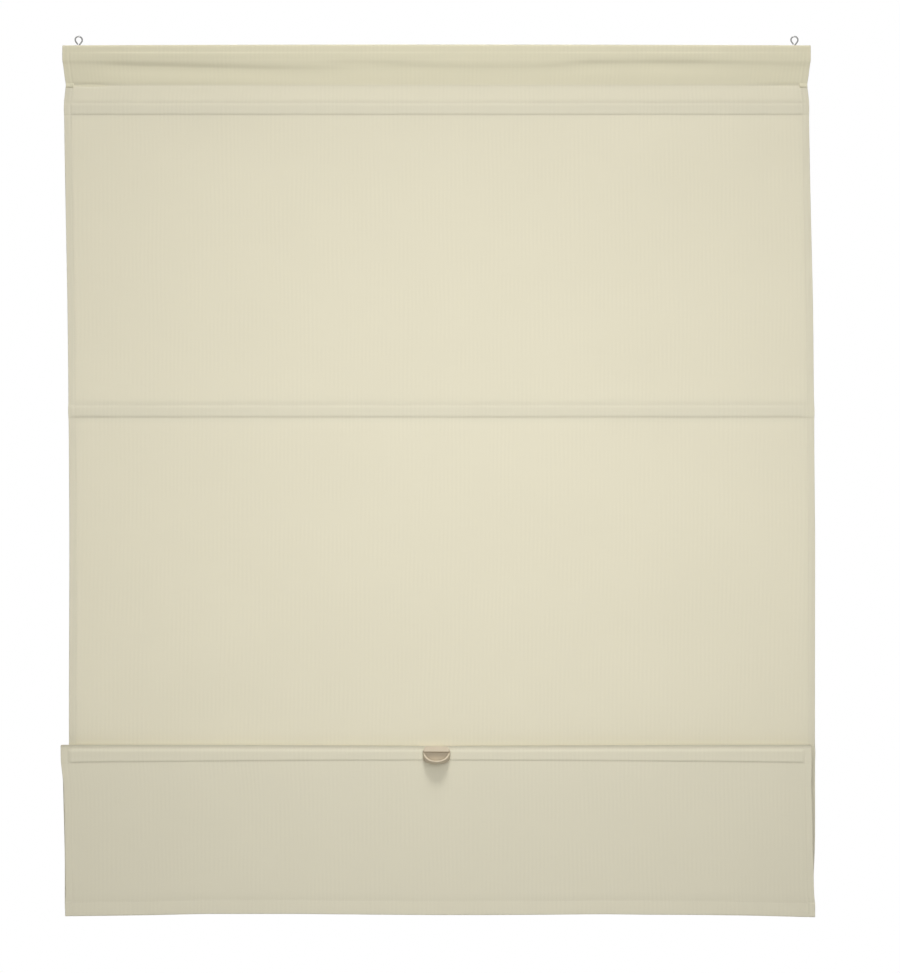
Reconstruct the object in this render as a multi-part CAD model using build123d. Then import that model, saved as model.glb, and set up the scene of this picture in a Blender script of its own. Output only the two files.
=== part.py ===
"""Cordless roman blind of sewn cloth, raised by one fold.

A wooden head batten with two screw eyes carries one sewn panel. Four flat battens lie in pockets sewn across
its back. The panel runs down to the bottom loop, back up to the top loop and down again as the front skirt, and
a two-part pull clips the front pocket to the pocket that is hidden behind it.

Millimetres, +Z up, the room is on the -Y side. The origin is the middle of the head's back face, which lies
against the wall.
"""
from build123d import *
import math
import os

# Whole blind
blind_width = 1000.0
cloth_thickness = 0.6
layer_press = 0.9            # sewn layers lie this share of a thickness apart, middle to middle

# Head batten and its tunnel
head_batten_height = 20.0
head_batten_depth = 8.0
head_batten_edge = 1.5       # rounding of its long edges
head_batten_inset = 2.0      # from each side of the cloth
tunnel_slack = 0.15          # cloth to batten
tunnel_neck = 32.0           # from the batten's underside down to the tunnel's seam
tunnel_flap = 8.0            # cloth left below that seam
panel_bend = 20.0            # where the panel comes to hang plumb at that seam
flap_bend = 10.0             # and the layer behind it

# Screw eyes
wire_diameter = 2.0
eye_diameter = 11.2          # outside of the ring
eye_neck = 7.9               # from the ring's centre down to where its legs meet
eye_bend = 2.0               # from the shank into its leg of the eye
eye_gap = 0.4                # left open between the ring's end and the shank
shank_length = 14.0          # in the wood
shank_clearance = 0.05
eye_inset = 20.0             # from each side of the cloth
eye_turns = (15.0, 0.0)      # left and right eye, degrees about their shanks

# Where the panel hangs, and where its pockets are sewn
panel_set_back = 5.5         # from the wall to the middle of the panel
first_pocket_drop = 72.0     # from the head batten's underside to the first pocket's lower seam
upper_pitch = 405.0          # first to second pocket
lower_pitch = 459.0          # second to third pocket, which is hidden
front_pocket_lift = 0.0      # front pocket's lower seam above that of the hidden one

# Pockets and their battens
pocket_height = 16.0         # seam to seam
pocket_seam = 3.0            # strip left above and below the seams
batten_height = 10.0
batten_thickness = 2.5
batten_slack = 0.15          # cloth to batten, front and back
batten_seat = 2.0            # from the lower seam up to the batten
batten_end_gap = 4.0         # from the side hem to the batten's end
pocket_ease = 0.8            # cloth stays straight this far past the batten's upper edge and above the seam
upper_bend = 1.4
lower_bend = 0.8

# Folds and hems
bottom_loop_drop = 202.5     # from the hidden pocket's lower seam down to the bottom loop
top_loop_rise = 4.5          # from the front pocket's upper seam up to the top loop
top_loop_width = 5.0         # between its two layers, middle to middle
back_layer_gap = 5.5         # from the panel to the layer behind the skirt, at the top
back_layer_lean = 3.0        # that layer comes forward this much on its way down
loop_round = 0.49            # a loop's two corners leave only a short flat between them, as a share of its width
skirt_drop = 205.0           # from the front pocket's lower seam to the hem's edge
skirt_lean = 3.5             # the skirt comes forward this much on its way down
side_hem = 10.0
bottom_hem = 19.0
hem_layers = 3               # a hem is turned twice

# Pull, which sits on the front pocket
pull_width = 37.0
pull_top_width = 29.0
pull_height = 23.0
pull_reach = 15.5            # from its back face out to the lip
pull_wall = 1.9
pull_lip_drop = 12.0         # from the rim's ends at the plate down to the lip's middle
pull_soft = 9.0              # rounding of the bowl's foot
pull_brow = 5.0              # how far the block above the finger recess stands out
pull_brow_height = 7.0
pull_brow_undercut = 1.2     # from the brow's edge up and back to the plate
pull_brow_round = 0.8
pull_corner = 3.0            # rounding of the two top corners
pull_set_down = 1.2          # from the top loop down to the pull's top
pull_gap = 0.25              # pull to cloth
peg_diameter = 2.4
peg_spacing = 30.0
peg_clearance = 0.2          # peg to the slits in the cloth
peg_seam_gap = 0.3           # peg to the upper seam's cloth
peg_fit = 0.05               # peg to its hole in the clip

# Clip behind, which grips the hidden pocket
clip_width = 46.0
clip_wall = 2.0
clip_gap = 0.3               # clip to cloth
clip_grip = 1.1              # how far its lips reach past the plate
clip_lip = 1.6               # thickness of those lips
clip_lower_ease = 0.8        # the lips stand this much further off where the pocket swells
clip_upper_ease = 0.3
clip_round = 3.0

# Places that follow from the sizes above
half_t = cloth_thickness / 2
layer = cloth_thickness * layer_press
head_half = head_batten_height / 2
tunnel_back = -half_t
tunnel_front = tunnel_back - head_batten_depth - 2 * tunnel_slack - cloth_thickness
head_middle = (tunnel_back + tunnel_front) / 2
tunnel_reach = head_half + tunnel_slack + half_t
tunnel_seam = -head_half - tunnel_neck
head_top = tunnel_reach + half_t

panel_y = -panel_set_back
seam_1 = -head_half - first_pocket_drop
seam_2 = seam_1 - upper_pitch
seam_3 = seam_2 - lower_pitch
seam_4 = seam_3 + front_pocket_lift

back_layer_y = panel_y - back_layer_gap
skirt_y = back_layer_y - top_loop_width
loop_bottom = seam_3 - bottom_loop_drop
loop_top = seam_4 + pocket_height + top_loop_rise
skirt_edge = seam_4 - skirt_drop
back_layer_foot = back_layer_y - back_layer_lean
skirt_foot = skirt_y - skirt_lean

batten_offset = layer / 2                                    # the battens lie between panel and strip
bulge = batten_thickness / 2 + batten_slack + half_t         # batten's middle to a bulged layer's middle
batten_length = blind_width - 2 * side_hem - 2 * batten_end_gap
batten_middle = batten_seat + batten_height / 2              # above the lower seam

pull_back = skirt_y + batten_offset - bulge - half_t - pull_gap
pull_top = loop_top - pull_set_down
pull_foot = pull_top - pull_height
peg_z = seam_4 + pocket_height - half_t - peg_seam_gap - peg_diameter / 2
clip_face = panel_y + batten_offset - bulge - half_t - clip_gap
clip_front = clip_face - clip_wall

# Batten pockets: number, layer they are sewn to, lower seam
pockets = [(1, panel_y, seam_1), (2, panel_y, seam_2), (3, panel_y, seam_3), (4, skirt_y, seam_4)]


def band(points, radii):
    """A layer of cloth, seen from the side, along a line through the points with its corners rounded."""
    line = FilletPolyline(*points, radius=radii)
    return make_face(line.wire().offset_2d(half_t, kind=Kind.INTERSECTION, side=Side.BOTH))


def bulge_points(y, seam, side):
    """Points and radii of one pocket wall, from the upper seam down to the lower one. side is -1 in front, 1 behind."""
    flat = y if side < 0 else y + layer
    out = y + batten_offset + side * bulge
    top = seam + pocket_height
    crown = seam + batten_seat + batten_height
    points = [(flat, top), (out, crown + pocket_ease), (out, seam + pocket_ease), (flat, seam)]
    return points, [upper_bend, upper_bend, lower_bend, lower_bend]


def panel_section():
    """The panel's own layer, from the top of the head down to the skirt's edge, with each pocket's front wall."""
    corner = head_batten_edge + tunnel_slack + half_t
    points = [(head_middle, tunnel_reach), (tunnel_front, tunnel_reach), (tunnel_front, -tunnel_reach)]
    radii = [corner, corner]
    points.append((panel_y, tunnel_seam))
    radii.append(panel_bend)
    for number, y, seam in pockets[:3]:
        wall, turns = bulge_points(y, seam, -1)
        points += wall
        radii += turns
    bottom_turn = loop_round * (panel_y - back_layer_foot)
    top_turn = loop_round * top_loop_width
    points += [(panel_y, loop_bottom + half_t), (back_layer_foot, loop_bottom + half_t)]
    radii += [bottom_turn, bottom_turn]
    points += [(back_layer_y, loop_top - half_t), (skirt_y, loop_top - half_t)]
    radii += [top_turn, top_turn]
    wall, turns = bulge_points(skirt_y, seam_4, -1)
    points += wall
    radii += turns
    points.append((skirt_foot, skirt_edge))
    return band(points, radii)


def tunnel_section():
    """The back of the head's tunnel, from the middle of the top round to the flap below the seam."""
    corner = head_batten_edge + tunnel_slack + half_t
    flap_y = panel_y + layer
    points = [
        (head_middle, tunnel_reach),
        (tunnel_back, tunnel_reach),
        (tunnel_back, -tunnel_reach),
        (flap_y, tunnel_seam),
        (flap_y, tunnel_seam - tunnel_flap),
    ]
    return band(points, [corner, corner, flap_bend])


def strip_section(y, seam):
    """The strip sewn on behind to make a pocket."""
    flat = y + layer
    wall, turns = bulge_points(y, seam, 1)
    ends = [(flat, seam + pocket_height + pocket_seam)], [(flat, seam - pocket_seam)]
    return band(ends[0] + wall + ends[1], turns)


def turned_edge(start, end, layers_side):
    """The extra layers of a hem along a straight stretch of the panel, on the side given by layers_side."""
    extra = layer * (hem_layers - 1)
    middle = layers_side * (half_t + extra) / 2
    (y0, z0), (y1, z1) = start, end
    length = math.hypot(y1 - y0, z1 - z0)
    across = ((z0 - z1) / length, (y1 - y0) / length)
    shift = (across[0] * middle, across[1] * middle)
    line = Line((y0 + shift[0], z0 + shift[1]), (y1 + shift[0], z1 + shift[1]))
    return make_face(Wire([line]).offset_2d((half_t + extra) / 2, kind=Kind.INTERSECTION, side=Side.BOTH))


def place(section, start, length):
    """Extrudes a side-view section along X from start."""
    return extrude(Plane.YZ.offset(start) * section, amount=length)


def skirt_line(z):
    """Where the skirt hangs at height z."""
    share = (seam_4 - z) / (seam_4 - skirt_edge)
    return skirt_y + (skirt_foot - skirt_y) * share


def back_line(z):
    """Where the layer behind the skirt hangs at height z."""
    share = (loop_top - z) / (loop_top - loop_bottom)
    return back_layer_y + (back_layer_foot - back_layer_y) * share


def side_hem_sections():
    """Extra layers down each side: behind the panel, in front of the back layer and behind the skirt."""
    panel_from = tunnel_seam - tunnel_flap
    turn = abs(panel_y - back_layer_foot) / 2
    panel_to = loop_bottom + turn + half_t
    skirt_from = seam_4 + pocket_height
    back_from = loop_top - top_loop_width
    return [
        turned_edge((panel_y, panel_from), (panel_y, panel_to), 1),
        turned_edge((back_line(back_from), back_from), (back_line(panel_to), panel_to), -1),
        turned_edge((skirt_y, skirt_from), (skirt_y, seam_4), 1),
        turned_edge((skirt_y, seam_4), (skirt_foot, skirt_edge), 1),
    ]


def pocket_end(y, seam):
    """The closed end of a pocket, a wall as thick as the cloth."""
    depth = 2 * bulge
    height = batten_height + batten_seat
    centre = (y + batten_offset, seam + height / 2 + half_t)
    return Pos(*centre) * Rectangle(depth, height)


def blind_cloth():
    """The whole sewn panel as one solid."""
    hem_line = skirt_edge + bottom_hem
    section = panel_section() + tunnel_section()
    for number, y, seam in pockets:
        section += strip_section(y, seam)
    section += turned_edge((skirt_line(hem_line), hem_line), (skirt_foot, skirt_edge), 1)
    half_width = blind_width / 2
    cloth = place(section, -half_width, blind_width)
    for start in (-half_width, half_width - side_hem):
        for edge in side_hem_sections():
            cloth += place(edge, start, side_hem)
    for start in (side_hem - half_width - cloth_thickness, half_width - side_hem):
        for number, y, seam in pockets:
            cloth += place(pocket_end(y, seam), start, cloth_thickness)
    for x in eye_places():
        cloth -= Pos(x, head_middle, head_top) * Cylinder(wire_diameter / 2 + peg_clearance, 4 * cloth_thickness)
    for x in peg_places():
        slit = Cylinder(peg_diameter / 2 + peg_clearance, clip_front - pull_back)
        cloth -= Pos(x, (pull_back + clip_front) / 2, peg_z) * Rot(90, 0, 0) * slit
    return cloth


def eye_places():
    """Where the two screw eyes stand along X."""
    return [side * (blind_width / 2 - eye_inset) for side in (-1, 1)]


def peg_places():
    """Where the pull's two pegs stand along X."""
    return [side * peg_spacing / 2 for side in (-1, 1)]


def head_batten():
    """Planed wooden batten with a pilot hole for each screw eye."""
    length = blind_width - 2 * head_batten_inset
    batten = Pos(0, head_middle, 0) * Box(length, head_batten_depth, head_batten_height)
    batten = fillet(batten.edges().filter_by(Axis.X), head_batten_edge)
    hole_depth = shank_length + shank_clearance
    for x in eye_places():
        hole = Cylinder(wire_diameter / 2 + shank_clearance, hole_depth)
        batten -= Pos(x, head_middle, head_half - hole_depth / 2) * hole
    return batten


def screw_eye(x, turn):
    """Eye bent from one wire: the shank turns into the right leg, runs round the ring and ends short of the shank."""
    radius = (eye_diameter - wire_diameter) / 2
    spread = math.asin(radius / eye_neck)
    leg = eye_neck * math.cos(spread)
    right = Vector(leg * math.sin(spread), 0, leg * math.cos(spread))
    left = Vector(-right.X, 0, right.Z)
    crown = Vector(0, 0, eye_neck + radius)
    knee = eye_bend * math.tan(spread / 2)
    foot = Vector(0, 0, head_half - shank_length - head_top)
    bend_start = Vector(0, 0, -knee)
    bend_end = Vector(knee * math.sin(spread), 0, knee * math.cos(spread))
    tail = left * ((wire_diameter + eye_gap) / (2 * right.X))
    wire = Wire([
        Line(foot, bend_start), TangentArc(bend_start, bend_end, tangent=(0, 0, 1)), Line(bend_end, right),
        ThreePointArc(right, crown, left), Line(left, tail),
    ])
    eye = sweep(Plane(origin=foot, z_dir=(0, 0, 1)) * Circle(wire_diameter / 2), path=wire)
    return Pos(x, head_middle, head_top) * Rot(0, 0, turn) * eye


def flat_batten(y, seam):
    """Flat strip with fully rounded ends."""
    outline = SlotOverall(batten_length, batten_height)
    strip = extrude(Plane.XZ * outline, amount=batten_thickness / 2, both=True)
    return Pos(0, y + batten_offset, seam + batten_middle) * strip


def cup(radius, foot, top, soft):
    """A round cup about an upright axis, filled, with the edge of its foot rounded."""
    side = make_face(Polyline((0, foot), (radius, foot), (radius, top), (0, top), close=True))
    corner = side.vertices().sort_by_distance((radius, foot))[0]
    return revolve(Plane.XZ * fillet(corner, soft), Axis.Z)


def pull_handle():
    """Moulded finger pull: a brow above a recess, a half bowl cut slantwise to the lip, and two pegs behind."""
    half = pull_width / 2
    radius = (half ** 2 + pull_reach ** 2) / (2 * pull_reach)
    axis = Pos(0, pull_back - pull_reach + radius, 0)
    plate = pull_back - pull_wall
    lip = pull_back - pull_reach
    brow_low = pull_top - pull_brow_height
    recess_top = brow_low - pull_brow_undercut
    side = make_face(Polyline(
        (pull_back, pull_top), (plate, pull_top), (pull_back - pull_brow, brow_low), (plate, recess_top),
        (lip, recess_top - pull_lip_drop), (lip, pull_foot), (pull_back, pull_foot), close=True,
    ))
    side = fillet(side.vertices().sort_by_distance((pull_back - pull_brow, brow_low))[0], pull_brow_round)
    outline = make_face(Polyline(
        (-pull_top_width / 2, pull_top), (pull_top_width / 2, pull_top), (half, brow_low), (half, pull_foot),
        (-half, pull_foot), (-half, brow_low), close=True,
    ))
    outline = fillet(outline.vertices().group_by(Axis.Y)[-1], pull_corner)
    pull = extrude(Plane.YZ * side, amount=half, both=True)
    pull &= extrude(Plane.XZ.offset(-pull_back) * outline, amount=pull_reach)
    pull &= axis * cup(radius, pull_foot, pull_top, pull_soft)
    hollow = axis * cup(radius - pull_wall, pull_foot + pull_wall, recess_top, pull_soft - pull_wall)
    hollow &= Pos(0, plate - pull_reach, pull_foot) * Box(pull_width, 2 * pull_reach, 2 * pull_height)
    pull -= hollow
    peg_length = clip_face - pull_back
    for x in peg_places():
        peg = Rot(90, 0, 0) * Cylinder(peg_diameter / 2, peg_length)
        pull += Pos(x, pull_back + peg_length / 2, peg_z) * peg
    return pull


def fold_clip():
    """Moulded plate with two lips that snap over the hidden pocket, and a hole for each peg."""
    low = seam_3 - clip_gap - clip_lower_ease
    high = seam_3 + pocket_height + clip_gap + clip_upper_ease
    lip_back = clip_face + clip_grip
    side = make_face(Polyline(
        (clip_front, low - clip_lip), (lip_back, low - clip_lip), (lip_back, low),
        (clip_face, low), (clip_face, high), (lip_back, high), (lip_back, high + clip_lip),
        (clip_front, high + clip_lip), close=True,
    ))
    clip = extrude(Plane.YZ * side, amount=clip_width / 2, both=True)
    clip = fillet(clip.edges().filter_by(Axis.Y).group_by(SortBy.LENGTH)[-1], clip_round)
    for x in peg_places():
        hole = Cylinder(peg_diameter / 2 + peg_fit, 3 * clip_wall)
        clip -= Pos(x, (clip_face + clip_front) / 2, peg_z) * Rot(90, 0, 0) * hole
    return clip


def main():
    """Builds every piece and writes it to the parts folder."""
    pieces = {"blind_cloth": blind_cloth(), "head_batten": head_batten()}
    for name, x, turn in zip(("screw_eye_left", "screw_eye_right"), eye_places(), eye_turns):
        pieces[name] = screw_eye(x, turn)
    for number, y, seam in pockets:
        pieces[f"batten_{number}"] = flat_batten(y, seam)
    pieces["pull_handle"] = pull_handle()
    pieces["fold_clip"] = fold_clip()
    os.makedirs("parts", exist_ok=True)
    for name, shape in pieces.items():
        export_step(shape, f"parts/{name}.step")


main()
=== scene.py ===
import bpy
import math
import numpy as np
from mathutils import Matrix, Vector


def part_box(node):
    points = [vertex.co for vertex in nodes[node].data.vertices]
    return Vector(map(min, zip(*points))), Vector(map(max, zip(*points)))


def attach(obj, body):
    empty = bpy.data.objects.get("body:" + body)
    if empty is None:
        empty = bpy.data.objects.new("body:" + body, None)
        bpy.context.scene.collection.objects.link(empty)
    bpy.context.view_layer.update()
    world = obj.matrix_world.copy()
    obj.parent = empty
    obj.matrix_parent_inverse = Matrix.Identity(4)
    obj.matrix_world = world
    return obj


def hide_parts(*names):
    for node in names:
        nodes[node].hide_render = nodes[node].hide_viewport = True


# Roman blind hung flat: one long strip of cream cloth, sewn, folded once and held up by its pull.
# Lengths below are in millimetres, with x across, y into the wall and z up, until a mesh is made in metres.

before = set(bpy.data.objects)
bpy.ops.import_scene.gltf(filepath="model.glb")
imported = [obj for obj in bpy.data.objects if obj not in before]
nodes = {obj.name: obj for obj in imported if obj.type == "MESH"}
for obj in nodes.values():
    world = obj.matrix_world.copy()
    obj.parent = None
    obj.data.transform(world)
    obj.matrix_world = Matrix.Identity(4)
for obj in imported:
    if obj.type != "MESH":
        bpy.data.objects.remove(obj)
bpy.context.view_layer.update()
mm = 0.001


# A socket that can be used in sums
class Sock:
    def __init__(self, maker, socket):
        self.maker = maker
        self.socket = socket

    def join(self, operation, other, turned=False):
        first, second = (other, self) if turned else (self, other)
        return self.maker.add("ShaderNodeMath", {"operation": operation}, {0: first, 1: second})

    def __add__(self, other):
        return self.join("ADD", other)

    def __radd__(self, other):
        return self.join("ADD", other, True)

    def __sub__(self, other):
        return self.join("SUBTRACT", other)

    def __rsub__(self, other):
        return self.join("SUBTRACT", other, True)

    def __mul__(self, other):
        return self.join("MULTIPLY", other)

    def __rmul__(self, other):
        return self.join("MULTIPLY", other, True)

    def __truediv__(self, other):
        return self.join("DIVIDE", other)

    def __pow__(self, other):
        return self.join("POWER", other)


# Makes the nodes of one material or of the world
class Maker:
    def __init__(self, tree):
        self.tree = tree
        self.tree.nodes.clear()

    def add(self, kind, settings, values, output=0):
        node = self.tree.nodes.new(kind)
        for name, value in settings.items():
            setattr(node, name, value)
        for name, value in values.items():
            if isinstance(value, Sock):
                self.tree.links.new(value.socket, node.inputs[name])
            else:
                node.inputs[name].default_value = value
        return Sock(self, node.outputs[output])

    def noise(self, vector, scale, detail=2.0, roughness=0.5, distortion=0.0):
        values = {"Vector": vector, "Scale": scale, "Detail": detail, "Roughness": roughness}
        values["Distortion"] = distortion
        return self.add("ShaderNodeTexNoise", {"noise_dimensions": "3D"}, values)

    def stretch(self, vector, scale):
        return self.add("ShaderNodeVectorMath", {"operation": "MULTIPLY"}, {0: vector, 1: scale})

    # A sine of one wave to each pitch
    def wave(self, value, pitch):
        turn = value * (2 * math.pi / pitch)
        return self.add("ShaderNodeMath", {"operation": "SINE"}, {0: turn})

    def ramp(self, value, low, high, toLow=0.0, toHigh=1.0):
        values = {"Value": value, "From Min": low, "From Max": high, "To Min": toLow, "To Max": toHigh}
        return self.add("ShaderNodeMapRange", {"interpolation_type": "SMOOTHSTEP"}, values)

    def blend(self, factor, first, second):
        settings = {"data_type": "RGBA", "clamp_factor": True}
        return self.add("ShaderNodeMix", settings, {0: factor, 6: first, 7: second}, 2)

    def multiply(self, first, second):
        settings = {"data_type": "RGBA", "blend_type": "MULTIPLY"}
        return self.add("ShaderNodeMix", settings, {0: 1.0, 6: first, 7: second}, 2)

    def larger(self, first, second):
        return self.add("ShaderNodeMath", {"operation": "MAXIMUM"}, {0: first, 1: second})

    def part(self, vector, axis):
        return self.add("ShaderNodeSeparateXYZ", {}, {0: vector}, axis)

    def place(self):
        return self.add("ShaderNodeTexCoord", {}, {}, 3)

    def principled(self, values):
        return self.add("ShaderNodeBsdfPrincipled", {}, values)

    def bump(self, height, strength, distance, normal=None):
        values = {"Height": height, "Strength": strength, "Distance": distance}
        if normal is not None:
            values["Normal"] = normal
        return self.add("ShaderNodeBump", {}, values)

    def finish(self, shader, target="ShaderNodeOutputMaterial"):
        output = self.tree.nodes.new(target)
        self.tree.links.new(shader.socket, output.inputs["Surface"])


def newMaterial(name):
    material = bpy.data.materials.new(name)
    material.use_nodes = True
    return material, Maker(material.node_tree)


def rgb(red, green, blue):
    return (red, green, blue, 1.0)


# Mesh helpers

def meshPiece(name, points, faces, material, ways=None):
    mesh = bpy.data.meshes.new(name)
    mesh.from_pydata((points * mm).tolist(), [], faces.tolist())
    if ways is not None:
        layer = mesh.uv_layers.new(name="clothWay")
        corners = np.empty(len(mesh.loops), np.int32)
        mesh.loops.foreach_get("vertex_index", corners)
        layer.uv.foreach_set("vector", ways[corners].astype(np.float32).ravel())
    mesh.shade_smooth()
    mesh.materials.append(material)
    piece = bpy.data.objects.new(name, mesh)
    bpy.context.scene.collection.objects.link(piece)
    return piece


# Quads of a grid whose points run down the rows first: row by row, column by column
def gridFaces(rows, columns, turned=False):
    index = np.arange(rows * columns).reshape(rows, columns)
    corners = [index[:-1, :-1], index[1:, :-1], index[1:, 1:], index[:-1, 1:]]
    faces = np.stack(corners, -1).reshape(-1, 4)
    return faces[:, ::-1] if turned else faces


def smooth(value, low, high):
    share = np.clip((value - low) / (high - low), 0.0, 1.0)
    return share * share * (3 - 2 * share)


def hump(value, middle, reach):
    return np.exp(-((value - middle) / reach) ** 2)


# Soft random field: values from -1 to 1 on a lattice, joined smoothly
def softField(across, along, spacingAcross, spacingAlong, seed):
    lattice = np.random.default_rng(seed).uniform(-1, 1, (64, 64))
    a = across / spacingAcross + 32.0
    b = along / spacingAlong + 32.0
    ia, ib = np.floor(a).astype(int) % 63, np.floor(b).astype(int) % 63
    fa, fb = a - np.floor(a), b - np.floor(b)
    fa, fb = fa * fa * (3 - 2 * fa), fb * fb * (3 - 2 * fb)
    near = lattice[ia, ib] * (1 - fa) + lattice[ia + 1, ib] * fa
    far = lattice[ia, ib + 1] * (1 - fa) + lattice[ia + 1, ib + 1] * fa
    return near * (1 - fb) + far * fb


# Sizes of the cloth that a sewer would set. The rest follows from the frame.
sewing = {
    "thickness": 0.55,
    "foldRound": 0.45,        # inside the turned edges
    "sideHem": 10.0,
    "bottomHem": 19.0,
    "bottomHemGap": 1.7,      # from the skirt to the hem's back
    "tunnelNeck": 32.0,       # head batten down to its seam
    "tunnelFlap": 3.5,        # cloth left behind that seam
    "tunnelCorner": 1.95,
    "seamToBatten": 2.0,      # lower seam up to each pocket batten
    "pocketHeight": 16.0,
    "pocketSeam": (3.0, 5.5, 3.0, 3.0),    # each strip beyond its seams
    "battenClear": 0.1,       # cloth to each pocket batten
    "panelForward": 1.0,      # the face hangs this far ahead of the solid's, so that its pockets look flat
    "skirtForward": 0.65,
    "layerGap": 0.6,          # face to strip at a seam
    "layerStep": 0.54,        # face to the tunnel's flap
    "headClear": 0.45,        # cloth's middle to the head batten
    "loopDepth": 5.0,         # skirt to the fold behind it
    "topRound": 2.45,         # bends at the top loop and at the hem
    "hemRound": 0.8,
    "loopRise": 20.2,         # top loop above the front pocket's seam
    "loopDrop": 200.8,        # bottom loop below the third seam
    "backLean": 3.0,          # how far the fold behind the skirt leans
    "skirtLean": 3.5,         # and the skirt
    "hemLean": 0.35,
    "edgeRise": 0.5,          # skirt's edge above the solid's foot
    "columns": 145,
    "rows": 326,
}

clothLow, clothHigh = (np.array(corner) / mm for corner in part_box("blind_cloth"))
headLow, headHigh = (np.array(corner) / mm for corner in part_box("head_batten"))
battenBoxes = [[np.array(corner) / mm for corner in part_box(f"batten_{n}")] for n in (1, 2, 3, 4)]
halfWidth = clothHigh[0]
battenHalf = battenBoxes[0][1][0]
seams = [low[2] - sewing["seamToBatten"] for low, high in battenBoxes]

# Side view of the cloth's middle line. The layers keep the places that the frame gives them.
headFront = headLow[1] - sewing["headClear"]
headBack = headHigh[1] + sewing["headClear"]
headTop = headHigh[2] + sewing["headClear"]
layerStep = sewing["layerStep"]
panelY = (battenBoxes[0][0][1] + battenBoxes[0][1][1] - layerStep) / 2 - sewing["panelForward"]
skirtY = (battenBoxes[3][0][1] + battenBoxes[3][1][1] - layerStep) / 2 - sewing["skirtForward"]
backTopY = skirtY + sewing["skirtForward"] + sewing["loopDepth"]
backFootY = backTopY - sewing["backLean"]
skirtFootY = skirtY - sewing["skirtLean"]
tunnelSeam = headLow[2] - sewing["tunnelNeck"]
loopTop = seams[3] + sewing["loopRise"]
loopBottom = seams[2] - sewing["loopDrop"]
skirtEdge = clothLow[2] + sewing["edgeRise"]


pathStep = 0.25


# Straight runs joined by arcs of the radii given, as points one step apart
def roundedPath(points, radii):
    points = np.array(points, float)
    pieces = [points[:1]]
    for before, corner, after, radius in zip(points[:-2], points[1:-1], points[2:], radii):
        into = (corner - before) / np.linalg.norm(corner - before)
        out = (after - corner) / np.linalg.norm(after - corner)
        turn = math.acos(np.clip(into @ out, -1, 1))
        side = math.copysign(1.0, into[0] * out[1] - into[1] * out[0])
        start = corner - into * radius * math.tan(turn / 2)
        centre = start + radius * side * np.array([-into[1], into[0]])
        angles = np.linspace(0, side * turn, max(3, int(radius * turn / pathStep)))[:, None]
        spoke = start - centre
        turned = np.concatenate([
            spoke[0] * np.cos(angles) - spoke[1] * np.sin(angles),
            spoke[0] * np.sin(angles) + spoke[1] * np.cos(angles),
        ], 1)
        pieces.append(centre + turned)
    pieces.append(points[-1:])
    corners = np.concatenate(pieces)
    length = np.concatenate([[0], np.cumsum(np.linalg.norm(np.diff(corners, axis=0), axis=1))])
    way = np.linspace(0, length[-1], int(length[-1] / pathStep))
    return way, np.interp(way, length, corners[:, 0]), np.interp(way, length, corners[:, 1])


# How far the face and the strip stand off their flat places to pass over each batten
halfCloth = sewing["thickness"] / 2
faces = [panelY, panelY, panelY, skirtY]
cloths = halfCloth + sewing["battenClear"]
faceReach = [face - low[1] + cloths for face, (low, high) in zip(faces, battenBoxes)]
stripReach = [high[1] - face - sewing["layerGap"] + cloths for face, (low, high) in zip(faces, battenBoxes)]

# Bends of the path: the tunnel's flap and its four corners, the panel below the tunnel's seam,
# the bottom and the top loop, and the skirt and its hem
corner, topRound, hemRound = sewing["tunnelCorner"], sewing["topRound"], sewing["hemRound"]
bottomRound = 0.49 * (panelY - backFootY)
flapBend, panelBend, skirtBend = 8, 24, 40
bends = [flapBend, corner, corner, corner, corner, panelBend, bottomRound, bottomRound, topRound, topRound]
bends += [skirtBend, hemRound, hemRound]
hemBack = skirtFootY + sewing["bottomHemGap"]
pathWay, pathY, pathZ = roundedPath([
    (panelY + layerStep, tunnelSeam - sewing["tunnelFlap"]),
    (panelY + layerStep, tunnelSeam),
    (headBack, -headTop),
    (headBack, headTop),
    (headFront, headTop),
    (headFront, -headTop),
    (panelY, tunnelSeam),
    (panelY, loopBottom),
    (backFootY, loopBottom),
    (backTopY, loopTop),
    (skirtY, loopTop),
    (skirtY, seams[3]),
    (skirtFootY, skirtEdge),
    (hemBack, skirtEdge),
    (hemBack - sewing["hemLean"], skirtEdge + sewing["bottomHem"]),
], bends)
headingY, headingZ = np.gradient(pathY, pathWay), np.gradient(pathZ, pathWay)
kernel = np.ones(5) / 5
headingY = np.convolve(np.pad(headingY, 2, "edge"), kernel, "valid")
headingZ = np.convolve(np.pad(headingZ, 2, "edge"), kernel, "valid")
headingLength = np.hypot(headingY, headingZ)
headingY, headingZ = headingY / headingLength, headingZ / headingLength


# Length along the cloth at the place nearest to y, z
def wayAt(y, z):
    return pathWay[np.argmin((pathY - y) ** 2 + (pathZ - z) ** 2)]


wayHeadFront = wayAt(headFront, 0)
wayTunnelSeam = wayAt(panelY, tunnelSeam - 1)
wayPanelEnd = wayAt(panelY, loopBottom + 6)
wayLoopBottom = wayAt((panelY + backFootY) / 2, loopBottom)
wayBackStart = wayAt(backFootY, loopBottom + 6)
wayBackEnd = wayAt(backTopY, loopTop - 3)
wayLoopTop = wayAt((backTopY + skirtY) / 2, loopTop)
waySkirtStart = wayAt(skirtY, loopTop - 3)
wayEdge = wayAt((skirtFootY + hemBack) / 2, skirtEdge)
clothLength = pathWay[-1]
print("cloth path", round(clothLength, 1), "mm long,", round(wayEdge, 1), "to the skirt's edge")


# Where each pocket's lower seam lies along the cloth
def panelWay(z):
    return wayTunnelSeam + (tunnelSeam - 1) - z


def skirtWay(z):
    return waySkirtStart + (loopTop - 3) - z


seamWays = [panelWay(seams[0]), panelWay(seams[1]), panelWay(seams[2]), skirtWay(seams[3])]
hemWay = wayEdge - sewing["bottomHem"]

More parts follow.
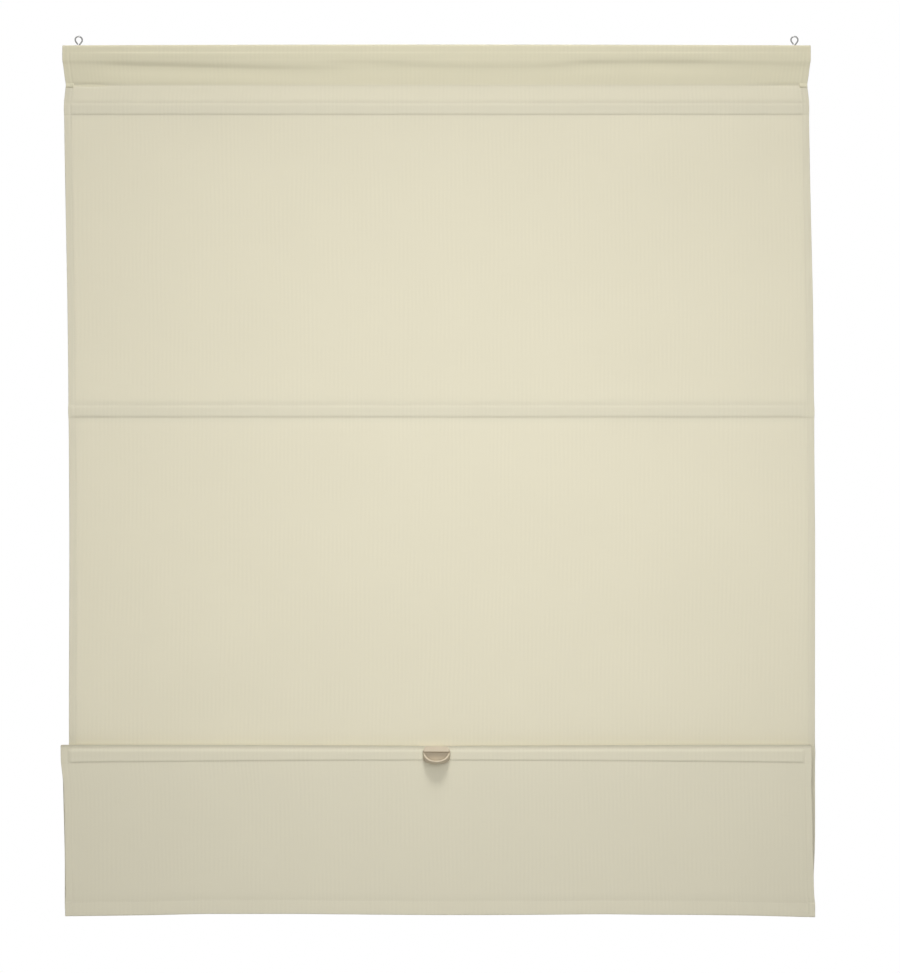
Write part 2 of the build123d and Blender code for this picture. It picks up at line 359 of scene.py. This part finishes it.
# How the cloth hangs: the skirt's sideways drift, the bows of its level lines, and how deep its waves are
hang = {
    "skirtTopDrift": -0.6,
    "skirtFootDrift": 5.1,
    "seamDroop": 3.3,
    "loopDip": 1.3,
    "loopPress": 0.9,         # the panel steps back behind the top loop
    "headBow": 1.3,
    "panelWave": 1.5,
    "fineWave": 0.12,
    "skirtWave": 1.0,
}


# Sideways drift along the way: straight between the marks, then softened
def drift(way):
    marks = [
        (0, 0), (panelWay(-82), -0.1), (panelWay(-200), 1.9), (panelWay(-330), 4.6), (panelWay(-480), 6.4),
        (panelWay(-640), 7.5), (panelWay(-900), 7.2), (panelWay(-1060), 7.6), (wayLoopBottom, 3.4),
        (wayBackStart + 20, 3.4), (wayBackStart + 60, 3.6), (wayBackEnd, hang["skirtTopDrift"]),
        (waySkirtStart + 10, hang["skirtTopDrift"]), (waySkirtStart + 60, 2.0), (waySkirtStart + 130, 3.4),
        (wayEdge, hang["skirtFootDrift"]), (clothLength, hang["skirtFootDrift"]),
    ]
    at, value = np.array(marks).T
    spots = np.linspace(0, clothLength, 600)
    line = np.interp(spots, at, value)
    weights = np.hanning(31)
    soft = np.convolve(np.pad(line, 15, "edge"), weights / weights.sum(), "valid")
    return np.interp(way, spots, soft)


# Half width beyond the nominal: drawn in by the tunnel's seam, let out over the front pocket
def spread(way):
    marks = [
        (wayHeadFront - 30, 0.9), (panelWay(-9), 0.9), (panelWay(-20), -0.6), (panelWay(-30), -1.7),
        (panelWay(-42), -3.4), (panelWay(-52), -2.2), (panelWay(-63), -1.1), (panelWay(-200), -0.9),
        (panelWay(-334), -0.5), (panelWay(-900), -0.3), (wayBackEnd, 0.0), (seamWays[3] - 20, 1.2),
        (seamWays[3] - 2, 1.2), (seamWays[3] + 30, -1.3), (wayEdge - 34, -1.3), (wayEdge - 18, -0.3),
        (clothLength, -0.3),
    ]
    at, value = np.array(marks).T
    z = np.interp(way, pathWay, pathZ)
    extra = np.interp(np.where(way < wayHeadFront, panelWay(z), way), at, value)
    for seamWay in seamWays[:3]:
        extra = extra + 0.5 * hump(way, seamWay - 8, 9)
    return extra


# How far a pocket swells at height h above its seam: off the seam, level over the batten, then a slope
def swell(h, low=1.9, crown=11.2, top=17.3):
    return smooth(h, -0.3, low) * (1 - smooth(h, crown, top))


# Pockets close over the round ends of their battens
def pocketEnd(x):
    gone = np.clip((np.abs(x) - battenHalf + 1.0) / 5.5, 0, 1)
    return np.sqrt(np.clip(1 - gone ** 2, 0, 1))


def pocketSwell(x, way):
    total = np.zeros(np.broadcast(x, way).shape)
    for seamWay, reach in zip(seamWays, faceReach):
        total = total + swell(seamWay - way) * pocketEnd(x) * reach
    return total


# The skirt's edge runs unevenly: x and height
footLine = [
    (-500, -1.9), (-470, -1.6), (-430, -1.3), (-380, -0.6), (-310, 1.2), (-180, 1.3), (-115, 0.7),
    (-50, 0), (0, -0.4), (80, -0.4), (150, 0.1), (220, 0.8), (290, 0.1), (350, 0.0), (420, -0.9),
    (470, -2.4), (500, -3.3),
]


# Heights off the level: the front pocket's lower seam droops towards its ends, the top loop dips
# in its middle, and the head bows up a little
def droop(x, way):
    seam = seamWays[3]
    bend = (np.abs(x) / halfWidth) ** 2.2
    near = smooth(way, seam - 7, seam - 0.5) * (1 - smooth(way, seam + 6, seam + 70))
    dip = hump(x, 20, 230) * hump(way, wayLoopTop, 9)
    at, height = np.array(footLine).T
    foot = np.interp(x, at, height) * smooth(way, seam + 60, wayEdge - 20)
    bow = (1 - np.clip(x / halfWidth, -1, 1) ** 2) * hump(way, wayHeadFront - 14, 9)
    return hang["headBow"] * bow - hang["seamDroop"] * bend * near - hang["loopDip"] * dip + foot


# Broad waves between the seams, and the soft folds below the head
def waves(x, way):
    z = np.interp(way, pathWay, pathZ)
    onPanel = (way > wayTunnelSeam) & (way < wayPanelEnd)
    free = np.ones(np.broadcast(x, way).shape)
    for seamWay in seamWays:
        free = free * (1 - hump(way, seamWay - 8, 26))
    free = free * (1 - hump(way, wayTunnelSeam, 18)) * (1 - hump(way, wayLoopTop, 26))
    slow = softField(x, way, 310, 190, 3) + 0.45 * softField(x, way, 150, 110, 4)
    fine = softField(x, way, 60, 45, 8)
    wave = np.where(onPanel, hang["panelWave"] * slow + hang["fineWave"] * fine, 0.0) * free
    wave = wave - hang["loopPress"] * hump(z, loopTop - 0.4, 1.9) * onPanel
    return wave + headFolds(x, z) * (way > wayHeadFront) * (way < wayPanelEnd)


# The skirt and the hem behind it wave together
def skirtWaves(x, way):
    below = smooth(way, seamWays[3] + 5, wayEdge) * (way > waySkirtStart)
    return hang["skirtWave"] * below * softField(x, 0 * way, 130, 100, 12)


# Creases under the head batten. Each is a list of places across: x, z of its middle, depth.
headCreases = [
    [
        (-520, -13, 0.25), (-455, -14, 0.55), (-430, -15, 1.25), (-315, -18, 1.2), (-200, -20.5, 0.75),
        (-120, -21, 0.2), (-60, -21, 0.0),
    ],
    [(-150, -12.5, 0.0), (-112, -12.5, 0.45), (-70, -12.5, 0.45), (-40, -14, 0.2), (0, -16, 0.0)],
    [
        (-90, -18, 0.0), (-40, -18, 0.5), (60, -19, 0.45), (120, -19, 0.35), (170, -17.5, 0.6),
        (195, -15, 0.4), (215, -13, 0.0),
    ],
    [
        (170, -13, 0.0), (215, -13, 1.0), (262, -12.8, 0.8), (300, -12.5, 1.15), (355, -12.8, 0.95),
        (400, -13.5, 0.5), (470, -16, 0.45), (510, -17, 0.3),
    ],
]
crease = {"above": 4.5, "below": 12.0, "depth": 1.3, "bulge": 0.35}
# Puckers at the tunnel's seam: x, reach, depth
puckers = [(-465, 26, 0.8), (-330, 110, 0.3), (470, 40, 0.45)]


# A crease sinks as a bell curve, short above its middle and long below, and the cloth over it stands out
def headFolds(x, z):
    fold = 0.0
    for line in headCreases:
        at, middle, depth = (np.array(values, float) for values in zip(*line))
        below = np.interp(x, at, middle) - 2 - z
        reach = np.where(below > 0, crease["below"], crease["above"])
        deep = crease["depth"] * np.interp(x, at, depth)
        fold = fold + deep * (crease["bulge"] * hump(z, -2, 6) - np.exp(-(below / reach) ** 2))
    pucker = sum(depth * hump(x, at, reach) for at, reach, depth in puckers)
    return fold - pucker * hump(z, tunnelSeam - 0.6, 2.6)


# Rows of stitches sink a little. At each pocket's lower seam the cloth sinks lowest just below the stitches
# and comes back slowly: depth, shift, reach above and reach below.
furrow = {
    "lower": [(0.22, 0.5, 1.0, 2.5), (0.36, 1.5, 1.5, 5.0), (0.22, 0.5, 1.0, 2.5), (0.12, 1.6, 1.6, 5.0)],
    "upper": (0.2, 2.2),      # depth and reach of the upper seams, and of all others
    "other": (0.2, 1.1),
}


hemLine = halfWidth - sewing["sideHem"] + 1.2    # the side hems' stitches


def furrows(u, way):
    depth = np.zeros(np.broadcast(u, way).shape)
    most, reach = furrow["upper"]
    for seamWay, (sunk, shift, above, below) in zip(seamWays, furrow["lower"]):
        depth = np.maximum(depth, most * hump(way, seamWay - sewing["pocketHeight"], reach))
        line = seamWay + shift
        depth = np.maximum(depth, sunk * hump(way, line, np.where(way < line, above, below)))
    most, reach = furrow["other"]
    tunnel = smooth(np.abs(u), 120, 480) * hump(way, wayTunnelSeam, reach)
    sides = hump(np.abs(u), hemLine, reach) * (way > wayHeadFront)
    return -np.maximum(depth, most * np.maximum(np.maximum(tunnel, sides), hump(way, hemWay, reach)))


# A place on the cloth. u runs across the cloth and round its turned sides, way runs along it,
# and lift is the distance off its face. Across: straight, half a circle at each side, straight back.
def clothPoint(u, way, lift=0.0):
    fold = sewing["foldRound"]
    flat = halfWidth - fold
    size = np.abs(u)
    turn = np.clip((size - flat) / fold, 0, math.pi)
    back = np.clip(size - flat - math.pi * fold, 0, None)
    x = np.sign(u) * (np.minimum(size, flat) + fold * np.sin(turn) - back)
    behind = -fold * (1 - np.cos(turn))
    y0, z0 = np.interp(way, pathWay, pathY), np.interp(way, pathWay, pathZ)
    faceY, faceZ = np.interp(way, pathWay, headingZ), -np.interp(way, pathWay, headingY)
    x = x * (1 + spread(way) / halfWidth) + drift(way)
    off = pocketSwell(x, way) + waves(x, way) + behind + lift
    off = off + furrows(u, way) * (behind > -0.1)
    z = z0 + faceZ * off + droop(x, way)
    return np.stack(np.broadcast_arrays(x, y0 + faceY * off - skirtWaves(x, way), z), -1)


# Steps that lie closer together where the weight is high
def steps(start, end, count, weight):
    spots = np.linspace(start, end, 20000)
    density = weight(spots)
    total = np.concatenate([[0], np.cumsum((density[1:] + density[:-1]) / 2)])
    return np.interp(np.linspace(0, total[-1], count), total, spots)


# Rows lie close at the pockets, the head, both loops and the hem, and columns at the side hems
def rowWeight(way):
    weight = np.full(way.shape, 0.085)
    for seamWay, need in zip(seamWays, (1.25, 1.25, 0.55, 1.4)):
        pocket = smooth(way, seamWay - 21, seamWay - 15) * (1 - smooth(way, seamWay + 2.5, seamWay + 7))
        weight += need * pocket
        weight += 1.2 * need * hump(way, seamWay, 1.6)
    weight += 0.9 * (1 - smooth(way, wayTunnelSeam + 4, wayTunnelSeam + 24))
    weight += 0.12 * (1 - smooth(way, wayTunnelSeam + 30, seamWays[0]))
    for loop, reach in ((wayLoopBottom, 9), (wayLoopTop, 6)):
        weight += 0.9 * hump(way, loop, reach)
    weight += 2.2 * hump(way, wayEdge, 3) + 1.2 * hump(way, hemWay, 2)
    return weight


def columnWeight(u):
    size = np.abs(u)
    weight = np.full(u.shape, 0.075)
    weight += 0.75 * smooth(size, halfWidth - 22, halfWidth - 12)
    weight += 0.3 * smooth(size, halfWidth - 60, halfWidth - 20)
    return weight + 2.2 * hump(size, halfWidth + 0.2, 1.2)


# The cloth's plain weave: threads both ways, slubs along them, and a faint shade rib
weave = {
    "warpColour": rgb(0.883, 0.841, 0.672),
    "weftColour": rgb(0.812, 0.773, 0.612),
    "glowColour": rgb(0.87, 0.83, 0.72),
    "paintedHeadLightTint": rgb(1.015, 1.01, 0.955),    # painted light: the head's double cloth is tinted a little yellower and brighter, standing in for light passing through its layers
    "glow": 0.2,
    "threadPitch": 0.9,
    "threadShade": 0.3,
    "threadWander": 0.0006,
    "ribPitch": 5.5,
    "ribSlant": 0.012,
    "ribWander": 0.009,
    "ribShade": 0.16,
    "slubShade": 0.22,
    "patchShade": 0.25,
    "roughness": 0.88,
    "paintedFoldShadeColour": rgb(0.42, 0.39, 0.30),    # painted shade: a dark line along the top loop's fold, standing in for the shade that falls there
    "paintedFoldShadeStrength": 0.88,
    "paintedFoldShadeReach": 4.5,
    "paintedFoldShadeAhead": 1.5,
}


def clothMaterial(name):
    material, maker = newMaterial(name)
    way = maker.add("ShaderNodeUVMap", {"uv_map": "clothWay"}, {})
    across = maker.part(way, 0)
    along = maker.part(way, 1)
    pitch = 2 * weave["threadPitch"] * mm
    wander = maker.noise(maker.stretch(way, (60, 9, 1)), 1.0, 2.0) - 0.5
    over = maker.wave(across + wander * weave["threadWander"], pitch) * maker.wave(along, pitch) * 0.5 + 0.5
    warpSlub = maker.noise(maker.stretch(way, (900, 22, 1)), 1.0, 3.0, 0.6) - 0.5
    weftSlub = maker.noise(maker.stretch(way, (16, 800, 1)), 1.0, 3.0, 0.6) - 0.5
    patch = maker.noise(maker.stretch(way, (9, 7, 1)), 1.0, 2.0) - 0.5
    ribWander = maker.noise(maker.stretch(way, (14, 5, 1)), 1.0, 2.0)
    ribAcross = across + along * weave["ribSlant"] + ribWander * weave["ribWander"]
    rib = maker.wave(ribAcross, weave["ribPitch"] * mm)
    ribStrength = maker.ramp(maker.noise(maker.stretch(way, (30, 24, 1)), 1.0, 2.0), 0.35, 0.62)
    tone = (warpSlub * 1.3 + weftSlub * 0.8) * weave["slubShade"] + patch * weave["patchShade"]
    tone = tone + rib * ribStrength * weave["ribShade"] + (over - 0.5) * weave["threadShade"] + 0.5
    colour = maker.blend(tone, weave["weftColour"], weave["warpColour"])
    # Painted light: the cloth over the head is tinted a little yellower and brighter, for the light through
    # its two layers
    atHead = 1.0 - maker.ramp(along, (wayTunnelSeam - 4) * mm, (wayTunnelSeam + 2) * mm)
    tinted = maker.multiply(colour, weave["paintedHeadLightTint"])
    colour = maker.blend(atHead, colour, tinted)
    # Painted shade: the cloth's colour is darkened along the top loop's fold, where shade falls on it
    fold, reach = (wayLoopTop + weave["paintedFoldShadeAhead"]) * mm, weave["paintedFoldShadeReach"] * mm
    above, below = maker.ramp(along, fold - reach, fold), maker.ramp(along, fold, fold + reach)
    colour = maker.blend((above - below) * weave["paintedFoldShadeStrength"], colour, weave["paintedFoldShadeColour"])
    height = over * 0.5 + warpSlub * 0.5 + weftSlub * 0.4
    normal = maker.bump(height, 0.35, 0.0003)
    pile = {"Base Color": colour, "Roughness": weave["roughness"], "Normal": normal}
    pile.update({"Sheen Weight": 0.12, "Sheen Roughness": 0.5, "Specular IOR Level": 0.2})
    surface = maker.principled(pile)
    glow = maker.add("ShaderNodeBsdfTranslucent", {}, {"Color": weave["glowColour"], "Normal": normal})
    both = maker.add("ShaderNodeMixShader", {}, {0: weave["glow"], 1: surface, 2: glow})
    maker.finish(both)
    return material


clothFinish = clothMaterial("creamPlainWeave")


def thicken(piece, thickness):
    wall = piece.modifiers.new("wall", "SOLIDIFY")
    wall.thickness = thickness * mm
    wall.offset = 0.0
    return piece


def sewnCloth():
    foldLength = math.pi * sewing["foldRound"]
    reach = halfWidth - sewing["foldRound"] + foldLength + sewing["sideHem"]
    u = steps(-reach, reach, sewing["columns"], columnWeight)
    way = steps(0, clothLength, sewing["rows"], rowWeight)
    grid = clothPoint(u[None, :], way[:, None])
    ways = np.stack(np.broadcast_arrays(u[None, :], way[:, None]), -1) * mm
    faces = gridFaces(len(way), len(u))
    piece = meshPiece("sewn_cloth", grid.reshape(-1, 3), faces, clothFinish, ways.reshape(-1, 2))
    return thicken(piece, sewing["thickness"])


# The strips behind that make the pockets: flat at both seams, swollen behind the batten
def pocketStrips():
    ends = halfWidth - sewing["sideHem"] - 0.5
    u = steps(-ends, ends, 81, columnWeight)
    allPoints, allFaces, allWays = [], [], []
    for index, (seamWay, seam) in enumerate(zip(seamWays, sewing["pocketSeam"])):
        h = np.linspace(sewing["pocketHeight"] + seam, -seam, 31)
        way = (seamWay - h)[:, None]
        front = clothPoint(u[None, :], way)
        x = front[..., 0]
        faceY = np.interp(way, pathWay, headingZ)
        ahead = pocketSwell(x, way)
        behind = sewing["layerGap"] + swell(h)[:, None] * pocketEnd(x) * stripReach[index]
        points = front.copy()
        points[..., 1] -= faceY * (ahead + behind)
        allFaces.append(gridFaces(len(h), len(u)) + index * points.shape[0] * points.shape[1])
        allPoints.append(points.reshape(-1, 3))
        ways = np.stack(np.broadcast_arrays(u[None, :] + 300 * index, way), -1) * mm
        allWays.append(ways.reshape(-1, 2))
    points, faces, ways = (np.concatenate(part) for part in (allPoints, allFaces, allWays))
    return thicken(meshPiece("pocket_strips", points, faces, clothFinish, ways), sewing["thickness"])


# Stitches
thread = {
    "pitch": 3.1,
    "length": 2.3,
    "radius": 0.21,
    "colour": rgb(0.80, 0.75, 0.61),
}


# One stitch is a rod of four sides that thins to both ends. All are set at once, each on its own
# middle point, along its own direction, on its own face direction.
def stitchesOn(middle, direction, face):
    rings = np.array([(-0.5, 0.25), (-0.36, 0.85), (0.0, 1.0), (0.36, 0.85), (0.5, 0.25)])
    sides = 4
    angles = (np.arange(sides) + 0.5) * 2 * math.pi / sides
    along = np.repeat(rings[:, 0], sides) * thread["length"]
    size = np.repeat(rings[:, 1], sides) * thread["radius"]
    up, side = size * np.tile(np.cos(angles), len(rings)), size * np.tile(np.sin(angles), len(rings))
    across = np.cross(direction, face)
    points = middle[:, None] + along[None, :, None] * direction[:, None]
    points = points + up[None, :, None] * face[:, None] + side[None, :, None] * across[:, None]
    quads = [[3, 2, 1, 0], [16, 17, 18, 19]]
    for first in range(0, sides * (len(rings) - 1), sides):
        for corner in range(sides):
            after = (corner + 1) % sides
            quads.append([first + corner, first + after, first + sides + after, first + sides + corner])
    faces = np.array(quads)[None] + sides * len(rings) * np.arange(len(middle))[:, None, None]
    faces = faces.reshape(-1, 4)
    return points.reshape(-1, 3), faces


def seamRow(uEnds, wayEnds, lift):
    start, end = np.array([uEnds[0], wayEnds[0]]), np.array([uEnds[1], wayEnds[1]])
    count = int(np.linalg.norm(end - start) / thread["pitch"])
    share = (np.arange(count) + 0.5) / count
    u, way = start[0] + (end[0] - start[0]) * share, start[1] + (end[1] - start[1]) * share
    stepU, stepWay = (end - start) / np.linalg.norm(end - start) * 0.5
    middle = clothPoint(u, way, lift)
    direction = clothPoint(u + stepU, way + stepWay, lift) - clothPoint(u - stepU, way - stepWay, lift)
    direction /= np.linalg.norm(direction, axis=1)[:, None]
    face = np.stack([0 * way, np.interp(way, pathWay, headingZ), -np.interp(way, pathWay, headingY)], 1)
    face -= direction * (face * direction).sum(1)[:, None]
    face /= np.linalg.norm(face, axis=1)[:, None]
    return middle, direction, face


def threadMaterial():
    material, maker = newMaterial("creamThread")
    place = maker.place()
    twist = maker.noise(maker.stretch(place, (1800, 1800, 1800)), 1.0, 2.0)
    colour = maker.blend(twist, thread["colour"], rgb(0.70, 0.65, 0.52))
    normal = maker.bump(twist, 0.4, 0.0001)
    values = {"Base Color": colour, "Roughness": 0.7, "Normal": normal, "Specular IOR Level": 0.3}
    maker.finish(maker.principled(values))
    return material


# Each row shows on the face, or behind at the depth of the layers that it holds
def seamStitches(name, behind):
    edge = halfWidth - 3.0
    face = halfCloth + 0.03
    strip, turned = sewing["layerGap"] + face, 2 * sewing["foldRound"] + face
    lifts = [-layerStep - face, -strip, -turned, -sewing["bottomHemGap"] - face] if behind else [face] * 4
    rows = [seamRow((-edge, edge), (wayTunnelSeam, wayTunnelSeam), lifts[0])]
    for seamWay in seamWays:
        for line in (seamWay, seamWay - sewing["pocketHeight"]):
            rows.append(seamRow((-hemLine, hemLine), (line, line), lifts[1]))
    for side in (-1, 1):
        rows.append(seamRow((side * hemLine, side * hemLine), (wayTunnelSeam + 6, wayEdge - 2), lifts[2]))
    rows.append(seamRow((-edge, edge), (hemWay, hemWay), lifts[3]))
    middle, direction, face = (np.concatenate(part) for part in zip(*rows))
    points, faces = stitchesOn(middle, direction, face)
    return meshPiece(name, points, faces, threadFinish)


threadFinish = threadMaterial()
clothPiece = sewnCloth()
stripPiece = pocketStrips()
stitchPieces = [seamStitches("face_stitches", False), seamStitches("back_stitches", True)]
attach(clothPiece, "root")
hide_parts("blind_cloth")
for piece in (stripPiece, *stitchPieces):
    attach(piece, "root")
print("cloth made", len(clothPiece.data.polygons), "faces")


# Head batten: planed softwood with its grain along x
timber = {
    "early": rgb(0.66, 0.49, 0.30),
    "late": rgb(0.50, 0.33, 0.17),
    "ringPitch": 3.4,
    "ringSlant": 0.45,
    "ringWander": 0.008,
}


def timberMaterial():
    material, maker = newMaterial("planedSoftwood")
    place = maker.place()
    wander = maker.noise(maker.stretch(place, (5, 60, 60)), 1.0, 3.0)
    depth = maker.part(place, 2) + maker.part(place, 1) * timber["ringSlant"] + wander * timber["ringWander"]
    rings = maker.wave(depth, timber["ringPitch"] * mm)
    fibre = maker.noise(maker.stretch(place, (25, 1500, 1500)), 1.0, 4.0, 0.65)
    mask = maker.ramp(rings * 0.5 + 0.5 + (fibre - 0.5) * 0.5, 0.25, 0.95)
    colour = maker.blend(mask, timber["early"], timber["late"])
    normal = maker.bump(fibre + mask * 0.4, 0.25, 0.0004)
    values = {"Base Color": colour, "Roughness": maker.ramp(fibre, 0.2, 0.8, 0.55, 0.72), "Normal": normal}
    maker.finish(maker.principled(values))
    return material


# Screw eyes: drawn wire, bright zinc
def zincMaterial():
    material, maker = newMaterial("brightZinc")
    place = maker.place()
    cloud = maker.noise(maker.stretch(place, (420, 420, 420)), 1.0, 3.0)
    scratch = maker.noise(maker.stretch(place, (2600, 2600, 500)), 1.0, 2.0)
    colour = maker.blend(cloud, rgb(0.20, 0.20, 0.20), rgb(0.34, 0.34, 0.33))
    values = {"Base Color": colour, "Metallic": 1.0, "Roughness": maker.ramp(cloud, 0.3, 0.7, 0.28, 0.42)}
    values["Normal"] = maker.bump(scratch, 0.15, 0.0001)
    maker.finish(maker.principled(values))
    return material


# Pocket battens: drawn glass fibre strip, off white, with its fibres along x
def fibreMaterial():
    material, maker = newMaterial("drawnGlassFibre")
    place = maker.place()
    fibre = maker.noise(maker.stretch(place, (14, 900, 900)), 1.0, 3.0)
    colour = maker.blend(fibre, rgb(0.78, 0.78, 0.73), rgb(0.88, 0.88, 0.84))
    values = {"Base Color": colour, "Roughness": maker.ramp(fibre, 0.3, 0.7, 0.36, 0.5)}
    values["Normal"] = maker.bump(fibre, 0.2, 0.0002)
    maker.finish(maker.principled(values))
    return material


# Pull and clip: satin moulded plastic
plastic = {
    "colour": rgb(0.55, 0.47, 0.345),
    "shade": rgb(0.49, 0.415, 0.30),
}


def plasticMaterial():
    material, maker = newMaterial("beigeMoulding")
    place = maker.place()
    grain = maker.noise(maker.stretch(place, (2600, 2600, 2600)), 1.0, 2.0)
    cloud = maker.noise(maker.stretch(place, (90, 90, 90)), 1.0, 3.0)
    colour = maker.blend(cloud, plastic["shade"], plastic["colour"])
    values = {"Base Color": colour, "Roughness": maker.ramp(cloud, 0.3, 0.7, 0.4, 0.52)}
    values["Normal"] = maker.bump(grain, 0.12, 0.0001)
    values["Specular IOR Level"] = 0.45
    maker.finish(maker.principled(values))
    return material


def dress(names, material):
    for name in names:
        piece = nodes[name]
        piece.data.materials.clear()
        piece.data.materials.append(material)


dress(["head_batten"], timberMaterial())
dress(["screw_eye_left", "screw_eye_right"], zincMaterial())
dress([f"batten_{n}" for n in (1, 2, 3, 4)], fibreMaterial())
dress(["pull_handle", "fold_clip"], plasticMaterial())
print("fittings dressed")


# Room, lights and camera, in metres
studio = {
    "floorHeight": -1.75,
    "floorSize": 14.0,
    "worldLevel": 0.15,
    "keyPower": 18.5,         # from high in front, kept off the floor by its spread
    "fillPower": 7.75,        # from the middle in front
    "backPower": 10.0,        # through the cloth
    "cameraDistance": 2.4,
    "cameraHeight": -0.5804,
    "cameraSide": 0.018,
    "pixelSize": 1.3404,
    "imageRows": 973,
}


def paleFloor():
    half = studio["floorSize"] / 2
    corners = np.array([(-half, -half), (half, -half), (half, half), (-half, half)])
    points = np.column_stack([corners, np.full(4, studio["floorHeight"])]) / mm
    material, maker = newMaterial("paleFloor")
    place = maker.place()
    flat = maker.add("ShaderNodeVectorMath", {"operation": "MULTIPLY"}, {0: place, 1: (1, 1, 0)})
    away = maker.add("ShaderNodeVectorMath", {"operation": "LENGTH"}, {0: flat}, 1)
    light = maker.add("ShaderNodeLightPath", {}, {})
    plain = maker.add("ShaderNodeBsdfDiffuse", {}, {"Color": rgb(0.86, 0.86, 0.86)})
    white = maker.add("ShaderNodeEmission", {}, {"Color": rgb(1, 1, 1), "Strength": 1.0})
    far = maker.ramp(away, 1.0, 1.85) * light
    maker.finish(maker.add("ShaderNodeMixShader", {}, {0: far, 1: plain, 2: white}))
    floor = meshPiece("pale_floor", points, np.array([[0, 1, 2, 3]]), material)


def softWorld():
    world = bpy.data.worlds.new("softWorld")
    bpy.context.scene.world = world
    world.use_nodes = True
    maker = Maker(world.node_tree)
    rays = ("Is Camera Ray", "Is Glossy Ray", "Is Transmission Ray")
    camera, glossy, through = (maker.add("ShaderNodeLightPath", {}, {}, ray) for ray in rays)
    seen = maker.larger(maker.larger(camera, glossy), through)
    lit = maker.add("ShaderNodeBackground", {}, {"Color": rgb(1, 1, 1), "Strength": studio["worldLevel"]})
    white = maker.add("ShaderNodeBackground", {}, {"Color": rgb(1, 1, 1), "Strength": 1.0})
    maker.finish(maker.add("ShaderNodeMixShader", {}, {0: seen, 1: lit, 2: white}), "ShaderNodeOutputWorld")


def softLamp(name, place, target, width, height, power, spread=180):
    lamp = bpy.data.lights.new(name, "AREA")
    lamp.shape = "RECTANGLE"
    lamp.size, lamp.size_y = width, height
    lamp.energy = power
    lamp.spread = math.radians(spread)
    holder = bpy.data.objects.new(name, lamp)
    bpy.context.scene.collection.objects.link(holder)
    holder.location = place
    holder.rotation_euler = (Vector(target) - Vector(place)).to_track_quat("-Z", "Y").to_euler()
    holder.visible_camera = False
    return holder


def photoCamera():
    data = bpy.data.cameras.new("photo_camera")
    camera = bpy.data.objects.new("photo_camera", data)
    bpy.context.scene.collection.objects.link(camera)
    panel = panelY * mm
    camera.location = (studio["cameraSide"], panel - studio["cameraDistance"], studio["cameraHeight"])
    camera.rotation_euler = (math.radians(90), 0, 0)
    viewHeight = studio["imageRows"] * studio["pixelSize"] * mm
    data.lens = data.sensor_width * studio["cameraDistance"] / viewHeight
    bpy.context.scene.camera = camera


paleFloor()
softWorld()
aim = (0, 0, -0.6)
softLamp("key", (0.1, -1.9, 3.6), aim, 1.8, 1.3, studio["keyPower"], 60)
softLamp("fill", (0.07, -1.06, -0.53), aim, 1.4, 1.0, studio["fillPower"])
softLamp("back_glow", (0.0, 1.6, -0.4), (0, 0, -0.5), 1.8, 1.8, studio["backPower"])
photoCamera()
bpy.context.scene.view_settings.view_transform = "Standard"
print("room, lights and camera set")
